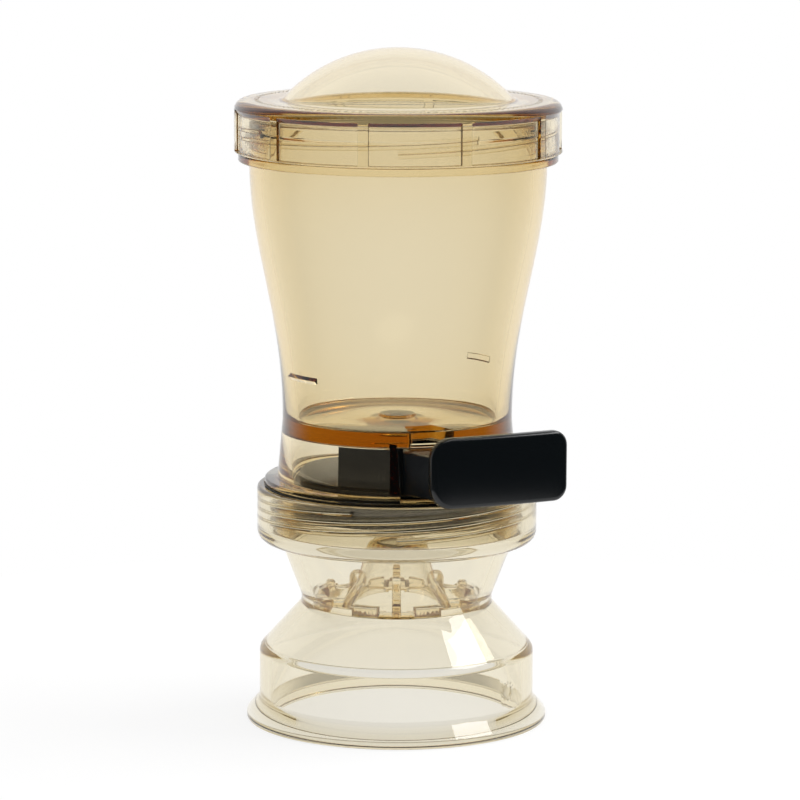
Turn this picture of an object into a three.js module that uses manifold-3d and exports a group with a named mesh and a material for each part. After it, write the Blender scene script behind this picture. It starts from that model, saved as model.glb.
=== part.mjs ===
// Seasoning dispenser: an hourglass base with a screwed-in hopper, a dosing lever and a screw lid.
// Millimetres, +Z up. The origin is on the axis, at the underside of the base's foot.
// Azimuths are degrees round the axis, from the front (-Y) towards +X.

import * as THREE from "three";
import { mergeVertices } from "three/addons/utils/BufferGeometryUtils.js";
import Module from "manifold-3d";

const wasm = await Module();
wasm.setup();

// Clearances
const restGap = 0.3;
const threadClearance = 0.5;
const leverHeadroom = 0.6;
const slotClearanceStart = 1.5;
const slotClearanceEnd = 1;
const slotHeadroom = 2;
const slotFloorGap = 0.36;
const slotSlant = 5.5;

// How far solids that are joined run into each other, and cutters run past a face
const overlap = 1;
const cutReach = 2;

// Roundness of the turned shapes
const segments = 40;
const stepAngle = 360 / segments;

// Base: bell, waist, funnel and collar
const bellRadius = 46.6;
const bellWall = 3.9;
const bellHeight = 24.2;
const footLip = 4.4;
const footHeight = 7.6;
const footEdge = 2.6;
const footChamfer = 1;
const footSweepOut = 0.4;
const footSweepUp = 0.8;
const shoulderHeight = 16.2;
const shoulderEase = 1.5;
const shoulderEaseIn = 0.04;
const shoulderEaseUp = 0.1;
const waistRadius = 32.4;
const waistWall = 3.9;
const waistBand = 2.4;
const funnelHeight = 18.8;
const funnelSpread = 7.2;
const funnelWall = 3.8;
const collarHeight = 18.9;
const collarCorner = 7.6;
const collarChamfer = 3;
const collarFloor = 1.8;
const mouthDepth = 0.9;
const mouthWall = 2.3;

// Screw threads: four starts each
const threadLead = 12;
const threadStarts = 4;
const threadDepth = 1.4;
const neckThreadDepth = 1.1;
const threadRoot = 1.4;
const threadCrest = 0.8;
const footThreadSpan = 250;
const neckThreadSpan = 120;

// Hopper
const housingRadius = 40.5;
const housingNarrow = 38.8;
const chamberRadius = 36.4;
const footWall = 4.8;
const footDepth = 16.8;
const footEdgeChamfer = 1.2;
const flangeWidth = 3.6;
const flangeThickness = 2;
const flangeGapInset = 7.5;
const floorThickness = 4.5;
const hopperWall = 4;
const shoulderRadius = 50;
const hopperHeight = 87;
const stopWidth = 3.7;
const stopThickness = 2.7;
const neckHeight = 12.1;
const swellBias = 1.08;
const swellRings = 8;
const postRadius = 4;
const floorRingRadius = 6.5;
const floorRingHeight = 0.7;
const floorRingSlope = 0.6;
const snapRibDepth = 0.8;
const snapRibHeight = 0.8;
const markLevel = 16.4;
const markLength = 15;
const markHeight = 1.6;
const markDepth = 0.7;
const markAzimuth = -53;

// Seals
const gasketThickness = 1;
const lidSealThickness = 1;
const lidSealWidth = 3.5;

// Dosing
const plateDrop = 0.1;
const plateThickness = 2.5;
const plateSkirtHeight = 9.5;
const plateSkirtWall = 2;
const doseRadius = 5.5;
const doseOrbit = 26.5;
const doseHeight = 14.4;
const doseLead = 6;
const inletMargin = 1.5;
const inletSideAngle = 1.5;
const leverTravel = 27;

// Lever
const rotorRadius = 33.8;
const rotorThickness = 2.6;
const sectorStart = -34;
const sectorEnd = 42;
const hubRadius = 10.5;
const armStart = 3;
const armEnd = 24;
const armInset = 0.2;
const armLift = 2.9;
const armRoot = 8;
const armKneeInset = 1;
const armKneeClear = 1.5;
const armTipStart = 0.03;
const armTipEnd = 0.4;
const blockRoot = 2;
const paddleLength = 49.7;
const paddleYaw = 25.3;
const paddleThickness = 4.7;
const paddleHeight = 23.6;
const paddleBulge = 0.9;
const paddleLeftCorner = 8;
const paddleRightCorner = 5;
const paddleGap = 14.9;
const paddleShift = 12.7;
const paddleBowSteps = 8;
const paddleCornerSteps = 6;
const springRadius = 6.6;
const springWire = 1.2;
const springTurns = 3;
const springPitch = 1.9;
const springPocketWall = 1.4;
const springSteps = 16;
const springSides = 3;

// Lid
const lidSkirtWall = 3.45;
const lidPlate = 4.1;
const lidPlateWall = 2.3;
const lidStepWidth = 5.5;
const lidCorner = 3.4;
const domeRadius = 53;
const domeHeight = 17.3;
const domeWall = 2.2;
const ribCount = 10;
const ribWidth = 3.45;
const ribAzimuth = 24;
const panelDepth = 1.1;
const panelFoot = 0.6;
const panelHead = 4.4;

// Spreader
const spreaderRing = 2.2;
const spreaderDepth = 3.7;
const spreaderFlare = 19.5;
const spreaderHeight = 26;
const spreaderNeck = 11.5;
const spreaderTip = 4;
const spreaderWall = 2;
const flareStep = 2;
const flareRise = 0.1;
const throatSpread = 1.5;
const throatRise = 0.4;
const neckRise = 0.65;
const tipStartAngle = 20;
const finCount = 4;
const finWidth = 2.8;
const finHeight = 13;
const finReach = 4.5;
const finShoulder = 2;
const finNeckOverlap = 1;
const finNeckRise = 0.3;
const knobInset = 2.9;
const knobWidth = 3.4;
const knobFoot = 7;
const knobRise = 2.4;
const spokeRoot = 4;
const spokeAngle = 26;
const spokeThickness = 2.2;

// Heights worked out from the sizes above
const waistBottom = bellHeight + shoulderHeight;
const waistTop = waistBottom + waistBand;
const collarBottom = waistTop + funnelHeight;
const collarTop = collarBottom + collarHeight;
const collarLedge = collarBottom + collarFloor;
const mouthLedge = collarTop - mouthDepth;
const gasketBottom = mouthLedge + restGap;
const gasketTop = gasketBottom + gasketThickness;
const flangeBottom = gasketTop + restGap;
const flangeTop = flangeBottom + flangeThickness;
const footBottom = flangeBottom - footDepth;
const plateTop = flangeBottom - plateDrop;
const rotorBottom = plateTop + restGap;
const rotorTop = rotorBottom + rotorThickness;
const sectorTop = rotorTop + doseHeight;
const floorBottom = sectorTop + leverHeadroom;
const floorTop = floorBottom + floorThickness;
const stopBottom = floorTop + hopperHeight;
const stopTop = stopBottom + stopThickness;
const rimTop = stopTop + neckHeight;
const lidSealBottom = rimTop + restGap;
const lidSealTop = lidSealBottom + lidSealThickness;
const lidUnderside = lidSealTop + restGap;
const lidTop = lidUnderside + lidPlate;
const lidBottom = stopTop + restGap;

// Radii worked out from the sizes above
const waistBore = waistRadius - waistWall;
const footRadius = chamberRadius + footWall;
const footCrest = footRadius + threadDepth;
const collarBore = footCrest + threadClearance;
const flangeRadius = footRadius + flangeWidth;
const mouthRadius = flangeRadius + restGap;
const collarRadius = mouthRadius + mouthWall;
const neckCrest = shoulderRadius + neckThreadDepth;
const lidBore = neckCrest + threadClearance;
const lidRadius = lidBore + lidSkirtWall;
const plateRadius = chamberRadius - restGap;
const slotEnd = armEnd + leverTravel + slotClearanceEnd;
const slotStart = armStart - slotClearanceStart;
const funnelSlope = funnelSpread / funnelHeight;
const doseAzimuth = (armStart + armEnd) / 2 + doseLead;
const outletAzimuth = doseAzimuth + leverTravel;

// A point at a radius and an azimuth, seen from above
function around(radius, azimuth) {
  const turn = THREE.MathUtils.degToRad(azimuth);
  return new THREE.Vector2(radius * Math.sin(turn), -radius * Math.cos(turn));
}

// A closed geometry as a solid, with shared corners merged and empty triangles left out
function solidOf(geometry) {
  const bare = new THREE.BufferGeometry();
  bare.setAttribute("position", geometry.getAttribute("position").clone());
  bare.setIndex(geometry.index);
  const merged = mergeVertices(bare, 1e-4);
  const corners = merged.index.array;
  const kept = [];
  for (let i = 0; i < corners.length; i += 3) {
    const [a, b, c] = corners.slice(i, i + 3);
    if (a !== b && b !== c && c !== a) kept.push(a, b, c);
  }
  const vertProperties = new Float32Array(merged.getAttribute("position").array);
  const triVerts = Uint32Array.from(kept);
  return new wasm.Manifold(new wasm.Mesh({ numProp: 3, vertProperties, triVerts }));
}

// A solid as a drawable geometry
function geometryOf(solid) {
  const mesh = solid.getMesh();
  const geometry = new THREE.BufferGeometry();
  geometry.setAttribute("position", new THREE.BufferAttribute(mesh.vertProperties, 3));
  geometry.setIndex(new THREE.BufferAttribute(mesh.triVerts, 1));
  geometry.computeVertexNormals();
  return geometry;
}

// A profile of [radius, height] points turned about the axis, outside going up
function turned(points) {
  const profile = points.map(([radius, height]) => new THREE.Vector2(radius, height));
  const geometry = new THREE.LatheGeometry(profile, segments);
  geometry.rotateX(Math.PI / 2);
  return solidOf(geometry);
}

// A ring or tube between two radii and two heights
function ring(inner, outer, low, high) {
  return turned([[inner, low], [outer, low], [outer, high], [inner, high], [inner, low]]);
}

// A round bar or disc on the axis
function disc(radius, low, high) {
  return turned([[0, low], [radius, low], [radius, high], [0, high]]);
}

// A round bar with its own axis at a radius and an azimuth
function bar(radius, orbit, azimuth, low, high) {
  const geometry = new THREE.CylinderGeometry(radius, radius, high - low, segments / 2);
  geometry.rotateX(Math.PI / 2);
  const centre = around(orbit, azimuth);
  geometry.translate(centre.x, centre.y, (low + high) / 2);
  return solidOf(geometry);
}

// An outline of [height, radius] points swept round the axis, rising by the lead in each turn
function swept(points, start, end, lead = 0) {
  const shape = new THREE.Shape(points.map(([height, radius]) => new THREE.Vector2(height, radius)));
  const steps = Math.max(1, Math.ceil((end - start) / stepAngle));
  const geometry = new THREE.ExtrudeGeometry(shape, { depth: end - start, steps, bevelEnabled: false });
  const corners = geometry.getAttribute("position");
  for (let i = 0; i < corners.count; i += 1) {
    const rise = (lead * corners.getZ(i)) / 360;
    const place = around(corners.getY(i), start + corners.getZ(i));
    corners.setXYZ(i, place.x, place.y, corners.getX(i) + rise);
  }
  return solidOf(geometry);
}

// A block of a ring between two azimuths
function sector(inner, outer, low, high, start, end) {
  return swept([[low, inner], [high, inner], [high, outer], [low, outer]], start, end);
}

// One start of a thread whose ridge stands from the wall's radius out, or in, to the crest
function threadRidge(wall, crest, low, start, span) {
  const root = wall - Math.sign(crest - wall) * threadClearance;
  const flank = (threadRoot - threadCrest) / 2;
  const high = low + threadRoot;
  const outline = [[low, root], [high, root], [high - flank, crest], [low + flank, crest]];
  const points = crest > wall ? outline : outline.reverse();
  return swept(points, start, start + span, threadLead);
}

// The starts of a thread, evenly round the axis
function thread(wall, crest, low, span) {
  const ridges = [];
  for (let i = 0; i < threadStarts; i += 1) {
    ridges.push(threadRidge(wall, crest, low, (i * 360) / threadStarts, span));
  }
  return ridges;
}

function joined(solid, extras) {
  return extras.reduce((whole, extra) => whole.add(extra), solid);
}

function cut(solid, cutters) {
  return cutters.reduce((whole, cutter) => whole.subtract(cutter), solid);
}

// Heights of the thread starts: the inner thread lies half a pitch above the outer one
const threadPitch = threadLead / threadStarts;
const footThreadLow = footBottom + threadPitch;
const neckThreadLow = stopTop + threadPitch;

// Points on a quarter round from one direction to another
function corner(centreRadius, centreHeight, radius, fromAngle, toAngle, count) {
  const points = [];
  for (let i = 0; i <= count; i += 1) {
    const angle = THREE.MathUtils.degToRad(fromAngle + ((toAngle - fromAngle) * i) / count);
    points.push([centreRadius + radius * Math.cos(angle), centreHeight + radius * Math.sin(angle)]);
  }
  return points;
}

// Base: one moulding, open at the bell's foot and at the collar's mouth
function makeBase() {
  const shoulderSpread = bellRadius - waistRadius;
  const funnelOffset = funnelWall * Math.hypot(1, funnelSlope);
  const funnelTop = waistRadius + funnelSpread;
  const funnelInner = funnelTop - funnelOffset;
  const funnelFoot = collarBottom - (funnelInner - waistBore) / funnelSlope;
  const outside = [
    [bellRadius - bellWall, 0],
    [bellRadius + footLip - footChamfer, 0],
    [bellRadius + footLip, footChamfer],
    [bellRadius + footLip, footEdge],
    [bellRadius + footSweepOut * footLip, footSweepUp * footHeight],
    [bellRadius, footHeight],
    [bellRadius, bellHeight - shoulderEase],
    [bellRadius - shoulderEaseIn * shoulderSpread, bellHeight + shoulderEaseUp * shoulderHeight],
    [waistRadius, waistBottom],
    [waistRadius, waistTop],
    [funnelTop, collarBottom],
    ...corner(collarRadius - collarCorner, collarBottom + collarCorner, collarCorner, -90, 0, 5),
    ...corner(collarRadius - mouthWall, collarTop - mouthWall, mouthWall, 0, 90, 2),
  ];
  const inside = [
    [mouthRadius, collarTop],
    [mouthRadius, mouthLedge],
    [collarBore, mouthLedge],
    [collarBore, collarLedge + collarChamfer],
    [collarBore - collarChamfer, collarLedge],
    [funnelInner + collarFloor * funnelSlope, collarLedge],
    [waistBore, funnelFoot],
    [waistBore, waistBottom - spreaderDepth / 2],
    [bellRadius - bellWall, bellHeight],
    [bellRadius - bellWall, 0],
  ];
  const shell = turned([...outside, ...inside]);
  const threadLow = footThreadLow + threadPitch / 2;
  return joined(shell, thread(collarBore, collarBore - threadDepth, threadLow, footThreadSpan));
}

// Spreader: a trumpet that throws the seasoning out to a ring of gaps in the waist.
// Each arm to the rim is a low spoke with an upright fin, which carries a knob.
function makeSpreader() {
  const ringRadius = waistBore - restGap;
  const low = waistBottom - spreaderDepth / 2;
  const high = low + spreaderDepth;
  const tipRound = spreaderNeck - spreaderTip;
  const tipCentre = low + spreaderHeight - 2 * spreaderTip;
  const trumpet = turned([
    [0, low + 2 * spreaderWall],
    [spreaderTip, low + 2 * spreaderWall],
    [spreaderFlare - 2 * spreaderWall, low],
    [spreaderFlare, low],
    [spreaderFlare - flareStep, low + flareRise * spreaderHeight],
    [spreaderNeck + throatSpread, low + throatRise * spreaderHeight],
    [spreaderNeck, low + neckRise * spreaderHeight],
    ...corner(spreaderTip, tipCentre, tipRound, tipStartAngle, 90, 3),
    [0, tipCentre + tipRound],
  ]);
  const rim = ring(ringRadius - spreaderRing, ringRadius, low, high);
  const armInner = spreaderFlare - spokeRoot;
  const armOuter = ringRadius - spreaderRing / 2;
  const knobOuter = armOuter - knobInset;
  const outline = new THREE.Shape();
  outline.moveTo(armInner, low);
  outline.lineTo(armOuter, low);
  outline.lineTo(armOuter, high + finShoulder);
  outline.lineTo(knobOuter, low + knobFoot);
  outline.lineTo(knobOuter, low + knobFoot + knobRise);
  outline.lineTo(knobOuter - knobWidth, low + knobFoot + knobRise);
  outline.lineTo(knobOuter - knobWidth, low + knobFoot);
  outline.lineTo(spreaderNeck + finReach, low + knobFoot);
  outline.lineTo(spreaderNeck + finReach, low + finHeight - finShoulder);
  outline.lineTo(spreaderNeck + finReach - finShoulder, low + finHeight);
  outline.lineTo(spreaderNeck - finNeckOverlap, low + finHeight);
  outline.lineTo(spreaderNeck - finNeckOverlap, low + finNeckRise * spreaderHeight);
  const arms = [];
  for (let i = 0; i < finCount; i += 1) {
    const middle = (i * 360) / finCount;
    const fin = new THREE.ExtrudeGeometry(outline, { depth: finWidth, bevelEnabled: false });
    fin.translate(0, 0, -finWidth / 2);
    fin.rotateX(Math.PI / 2);
    fin.rotateZ(THREE.MathUtils.degToRad(middle - 90));
    arms.push(solidOf(fin));
    const spokeStart = middle - spokeAngle / 2;
    const spokeEnd = middle + spokeAngle / 2;
    arms.push(sector(armInner, armOuter, low, low + spokeThickness, spokeStart, spokeEnd));
  }
  return joined(trumpet.add(rim), arms);
}

// Gasket between the collar's mouth and the hopper's flange
function makeCollarGasket() {
  return ring(footRadius + restGap, flangeRadius, gasketBottom, gasketTop);
}

// Outer radius of the hopper's swelling body at a share of its height
function swellRadius(share) {
  const swell = (1 - Math.cos(Math.PI * share ** swellBias)) / 2;
  return housingNarrow + (shoulderRadius - housingNarrow) * swell;
}

// Hopper: jar, floor with its inlet, lever housing with its slot, and threaded foot and neck
function makeHopper() {
  const outerSwell = [];
  const innerSwell = [];
  for (let i = 0; i <= swellRings; i += 1) {
    const share = i / swellRings;
    const height = floorTop + share * hopperHeight;
    outerSwell.push([swellRadius(share), height]);
    innerSwell.unshift([swellRadius(share) - hopperWall, height]);
  }
  const snapTop = plateTop - plateSkirtHeight - restGap;
  const jar = turned([
    [chamberRadius, footBottom],
    [footRadius - footEdgeChamfer, footBottom],
    [footRadius, footBottom + footEdgeChamfer],
    [footRadius, flangeBottom],
    [flangeRadius, flangeBottom],
    [flangeRadius, flangeTop],
    [housingRadius, flangeTop],
    ...outerSwell,
    [shoulderRadius + stopWidth, stopBottom],
    [shoulderRadius + stopWidth, stopTop],
    [shoulderRadius, stopTop],
    [shoulderRadius, rimTop],
    [shoulderRadius - hopperWall, rimTop],
    ...innerSwell,
    [floorRingRadius, floorTop],
    [floorRingRadius - floorRingSlope, floorTop + floorRingHeight],
    [0, floorTop + floorRingHeight],
    [0, rotorBottom],
    [postRadius, rotorBottom],
    [postRadius, floorBottom],
    [chamberRadius, floorBottom],
    [chamberRadius, snapTop],
    [chamberRadius - snapRibDepth, snapTop - snapRibHeight / 2],
    [chamberRadius, snapTop - snapRibHeight],
    [chamberRadius, footBottom],
  ]);
  const markRadius = swellRadius(markLevel / hopperHeight);
  const markReach = THREE.MathUtils.radToDeg(markLength / markRadius) / 2;
  const markBottom = floorTop + markLevel - markHeight / 2;
  const marks = [0, 180].map((turn) => {
    const middle = markAzimuth + turn;
    const outer = markRadius + markDepth;
    const inner = markRadius - hopperWall / 2;
    return sector(inner, outer, markBottom, markBottom + markHeight, middle - markReach, middle + markReach);
  });
  const reach = THREE.MathUtils.radToDeg(doseRadius / doseOrbit) + inletSideAngle;
  const inletInner = doseOrbit - doseRadius;
  const inletOuter = doseOrbit + doseRadius + inletMargin;
  const inletStart = doseAzimuth - reach;
  const inletEnd = doseAzimuth + reach;
  const inletLow = floorBottom - overlap;
  const inlet = sector(inletInner, inletOuter, inletLow, floorTop + overlap, inletStart, inletEnd);
  const slotInner = chamberRadius - restGap;
  const slotTop = sectorTop + slotHeadroom;
  const slotOuter = flangeRadius + cutReach;
  const slot = sector(slotInner, slotOuter, flangeBottom + slotFloorGap, slotTop, slotStart, slotEnd);
  const slant = new THREE.Shape([
    around(slotInner, slotStart - slotSlant),
    around(housingRadius, slotStart),
    around(housingRadius, slotStart + slotSlant),
    around(slotInner, slotStart + slotSlant),
  ]);
  const slantHeight = slotTop - flangeTop;
  const slantCut = new THREE.ExtrudeGeometry(slant, { depth: slantHeight, bevelEnabled: false });
  slantCut.translate(0, 0, flangeTop);
  const gapInner = footRadius - restGap;
  const gapStart = slotStart + flangeGapInset;
  const flangeGap = sector(gapInner, slotOuter, flangeBottom - plateDrop, flangeTop, gapStart, slotEnd);
  const footThread = thread(footRadius, footCrest, footThreadLow, footThreadSpan);
  const neckThread = thread(shoulderRadius, neckCrest, neckThreadLow, neckThreadSpan);
  const whole = joined(jar, [...marks, ...footThread, ...neckThread]);
  return cut(whole, [inlet, slot, solidOf(slantCut), flangeGap]);
}

// Bottom plate: closes the lever's chamber from below, with one outlet hole
function makeBottomPlate() {
  const plateBottom = plateTop - plateThickness;
  const skirtBottom = plateTop - plateSkirtHeight;
  const cup = turned([
    [0, plateBottom],
    [plateRadius - plateSkirtWall, plateBottom],
    [plateRadius - plateSkirtWall, skirtBottom],
    [plateRadius, skirtBottom],
    [plateRadius, plateTop],
    [0, plateTop],
  ]);
  return cup.subtract(bar(doseRadius, doseOrbit, outletAzimuth, plateBottom - overlap, plateTop + overlap));
}

// Centre line of the paddle's outer face, from its left end, as seen from above
const paddleTurn = THREE.MathUtils.degToRad(paddleYaw);
const paddleAlong = new THREE.Vector2(Math.cos(paddleTurn), Math.sin(paddleTurn));
const paddleOut = new THREE.Vector2(Math.sin(paddleTurn), -Math.cos(paddleTurn));
const paddleDistance = housingRadius + paddleGap;

function paddlePoint(along, out) {
  const start = paddleOut.clone().multiplyScalar(paddleDistance);
  return start.addScaledVector(paddleAlong, along - paddleShift).addScaledVector(paddleOut, out);
}

// Paddle: a slightly bowed plate with rounded corners
function makePaddle() {
  const low = rotorTop - armLift;
  const high = low + paddleHeight;
  const outer = [];
  const inner = [];
  for (let i = 0; i <= paddleBowSteps; i += 1) {
    const share = i / paddleBowSteps;
    const bow = paddleBulge * (1 - (2 * share - 1) ** 2);
    outer.push(paddlePoint(share * paddleLength, bow - paddleBulge));
    inner.unshift(paddlePoint(share * paddleLength, bow - paddleBulge - paddleThickness));
  }
  const plan = new THREE.Shape([...outer, ...inner]);
  const strip = new THREE.ExtrudeGeometry(plan, { depth: paddleHeight, bevelEnabled: false });
  strip.translate(0, 0, low);
  const face = new THREE.Shape();
  face.moveTo(paddleLeftCorner, low);
  face.lineTo(paddleLength - paddleRightCorner, low);
  face.quadraticCurveTo(paddleLength, low, paddleLength, low + paddleRightCorner);
  face.lineTo(paddleLength, high - paddleRightCorner);
  face.quadraticCurveTo(paddleLength, high, paddleLength - paddleRightCorner, high);
  face.lineTo(paddleLeftCorner, high);
  face.quadraticCurveTo(0, high, 0, high - paddleLeftCorner);
  face.lineTo(0, low + paddleLeftCorner);
  face.quadraticCurveTo(0, low, paddleLeftCorner, low);
  const depth = 4 * paddleThickness;
  const settings = { depth, curveSegments: paddleCornerSteps, bevelEnabled: false };
  const block = new THREE.ExtrudeGeometry(face, settings);
  block.rotateX(Math.PI / 2);
  block.rotateZ(paddleTurn);
  const blockCorner = paddlePoint(0, -depth / 2);
  block.translate(blockCorner.x, blockCorner.y, 0);
  return solidOf(strip).intersect(solidOf(block));
}

// Lever: rotor disc, dose block, hub, arm and paddle in one moulding
function makeLever() {
  const armBottom = rotorTop - armInset;
  const armTop = sectorTop - armInset;
  const leftFoot = around(rotorRadius - armRoot, armStart);
  const leftKnee = around(housingRadius - armKneeInset, armStart);
  const rightFoot = around(rotorRadius - armRoot, armEnd);
  const rightKnee = around(housingRadius + armKneeClear, armEnd);
  const leftTip = paddlePoint(armTipStart * paddleLength, -paddleThickness / 2 - paddleBulge);
  const rightTip = paddlePoint(armTipEnd * paddleLength, -paddleThickness / 2);
  const plan = new THREE.Shape([leftFoot, leftKnee, leftTip, rightTip, rightKnee, rightFoot]);
  const armShape = new THREE.ExtrudeGeometry(plan, { depth: armTop - armBottom, bevelEnabled: false });
  armShape.translate(0, 0, armBottom);
  const rotor = disc(rotorRadius, rotorBottom, rotorTop);
  const blockInner = hubRadius - blockRoot;
  const block = sector(blockInner, rotorRadius, rotorTop - overlap, sectorTop, sectorStart, sectorEnd);
  const hub = disc(hubRadius, rotorTop - overlap, sectorTop);
  const solid = joined(rotor, [block, hub, solidOf(armShape), makePaddle()]);
  const postHole = disc(postRadius + restGap, rotorBottom - overlap, sectorTop + overlap);
  const springPocket = disc(hubRadius - springPocketWall, springBottom() - restGap, sectorTop + overlap);
  const dose = bar(doseRadius, doseOrbit, doseAzimuth, rotorBottom - overlap, sectorTop + overlap);
  return cut(solid, [postHole, springPocket, dose]);
}

// Height of the return spring's underside, in its pocket round the post
function springBottom() {
  return sectorTop - (springTurns * springPitch + 2 * springWire);
}

// Return spring: a wound wire in the hub
function makeLeverSpring() {
  class Helix extends THREE.Curve {
    getPoint(share, target = new THREE.Vector3()) {
      const place = around(springRadius, share * springTurns * 360);
      const height = springBottom() + springWire / 2 + share * springTurns * springPitch;
      return target.set(place.x, place.y, height);
    }
  }
  const wire = new THREE.Shape();
  wire.absarc(0, 0, springWire / 2, 0, 2 * Math.PI);
  const steps = springTurns * springSteps;
  const settings = { extrudePath: new Helix(), steps, curveSegments: springSides };
  return solidOf(new THREE.ExtrudeGeometry(wire, settings));
}

// Seal between the hopper's rim and the lid
function makeLidSeal() {
  return ring(shoulderRadius - lidSealWidth, shoulderRadius, lidSealBottom, lidSealTop);
}

// Lid: threaded skirt with grip ribs, flat shoulder and a shallow dome
function makeLid() {
  const centre = lidTop + domeHeight - domeRadius;
  const innerDome = domeRadius - domeWall;
  const outerBase = Math.asin((lidTop - centre) / domeRadius);
  const ceiling = lidTop - lidPlateWall;
  const stepRadius = shoulderRadius - lidStepWidth;
  const innerBase = Math.asin((ceiling - centre) / innerDome);
  const degrees = THREE.MathUtils.radToDeg;
  const shell = turned([
    [lidBore, lidBottom],
    [lidRadius, lidBottom],
    ...corner(lidRadius - lidCorner, lidTop - lidCorner, lidCorner, 0, 90, 3),
    ...corner(0, centre, domeRadius, degrees(outerBase), 90, 6).slice(0, -1),
    [0, centre + domeRadius],
    [0, centre + innerDome],
    ...corner(0, centre, innerDome, 90, degrees(innerBase), 6).slice(1),
    [stepRadius, ceiling],
    [stepRadius, lidUnderside],
    [lidBore, lidUnderside],
    [lidBore, lidBottom],
  ]);
  const ribReach = degrees(ribWidth / lidRadius) / 2;
  const spacing = 360 / ribCount;
  const panels = [];
  for (let i = 0; i < ribCount; i += 1) {
    const start = ribAzimuth + i * spacing + ribReach;
    const end = ribAzimuth + (i + 1) * spacing - ribReach;
    const low = lidBottom + panelFoot;
    const high = lidTop - panelHead;
    panels.push(sector(lidRadius - panelDepth, lidRadius + overlap, low, high, start, end));
  }
  const threadLow = neckThreadLow + threadPitch / 2;
  const threads = thread(lidBore, lidBore - neckThreadDepth, threadLow, neckThreadSpan);
  return cut(joined(shell, threads), panels);
}

// Finishes: colour, roughness and metalness of each kind of piece
const amber = { color: 0xd8c48c, roughness: 0.12, metalness: 0, transparent: true, opacity: 0.5 };
const smoke = { color: 0xd9d4c6, roughness: 0.12, metalness: 0, transparent: true, opacity: 0.4 };
const black = { color: 0x10161a, roughness: 0.35, metalness: 0 };
const rubber = { color: 0x1b1b1a, roughness: 0.75, metalness: 0 };
const silicone = { color: 0xd8c9a0, roughness: 0.4, metalness: 0, transparent: true, opacity: 0.6 };
const steel = { color: 0xb8b8b4, roughness: 0.3, metalness: 1 };

function named(name, solid, finish) {
  const mesh = new THREE.Mesh(geometryOf(solid), new THREE.MeshStandardMaterial(finish));
  mesh.name = name;
  return mesh;
}

const group = new THREE.Group();
group.add(named("base", makeBase(), smoke));
group.add(named("spreader", makeSpreader(), amber));
group.add(named("collar_gasket", makeCollarGasket(), rubber));
group.add(named("hopper", makeHopper(), amber));
group.add(named("bottom_plate", makeBottomPlate(), black));
group.add(named("lever", makeLever(), black));
group.add(named("lever_spring", makeLeverSpring(), steel));
group.add(named("lid_seal", makeLidSeal(), silicone));
group.add(named("lid", makeLid(), amber));

export default group;
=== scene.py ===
"""Looks of a clear plastic seasoning dispenser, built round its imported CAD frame.

Sizes are in millimetres until a piece is finished, and each finished mesh is in metres.
Azimuths are degrees round the vertical axis, from the front (-Y) towards +X.
"""

from __future__ import annotations

import logging
import math
from dataclasses import dataclass, field
from enum import Enum
from typing import Iterable, Optional, Sequence

import bmesh
import bpy
from mathutils import Euler, Matrix, Vector

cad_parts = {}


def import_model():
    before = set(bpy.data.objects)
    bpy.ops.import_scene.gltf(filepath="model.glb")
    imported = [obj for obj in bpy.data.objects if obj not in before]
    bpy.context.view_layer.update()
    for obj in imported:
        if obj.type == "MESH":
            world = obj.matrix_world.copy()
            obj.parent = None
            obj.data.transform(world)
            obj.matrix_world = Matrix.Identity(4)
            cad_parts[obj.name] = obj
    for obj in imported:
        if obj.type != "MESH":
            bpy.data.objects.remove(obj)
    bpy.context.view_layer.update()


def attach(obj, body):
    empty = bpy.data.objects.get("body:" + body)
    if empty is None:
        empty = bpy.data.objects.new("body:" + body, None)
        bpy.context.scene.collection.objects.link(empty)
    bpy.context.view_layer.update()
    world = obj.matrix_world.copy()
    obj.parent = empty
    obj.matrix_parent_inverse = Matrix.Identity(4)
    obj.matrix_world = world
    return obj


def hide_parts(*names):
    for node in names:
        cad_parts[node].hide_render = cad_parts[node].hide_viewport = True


LOG = logging.getLogger("dispenser")
MM = 0.001
SPIN_STEPS = 160
SHARP_ANGLE = 32.0
WHITE = (1.0, 1.0, 1.0, 1.0)


class Join(Enum):
    """How one solid is combined with others."""

    ADD = "UNION"
    CUT = "DIFFERENCE"


@dataclass(frozen=True)
class Corner:
    """One corner of a turned outline, with the radius that rounds it."""

    r: float
    z: float
    fillet: float = 0.0


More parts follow.
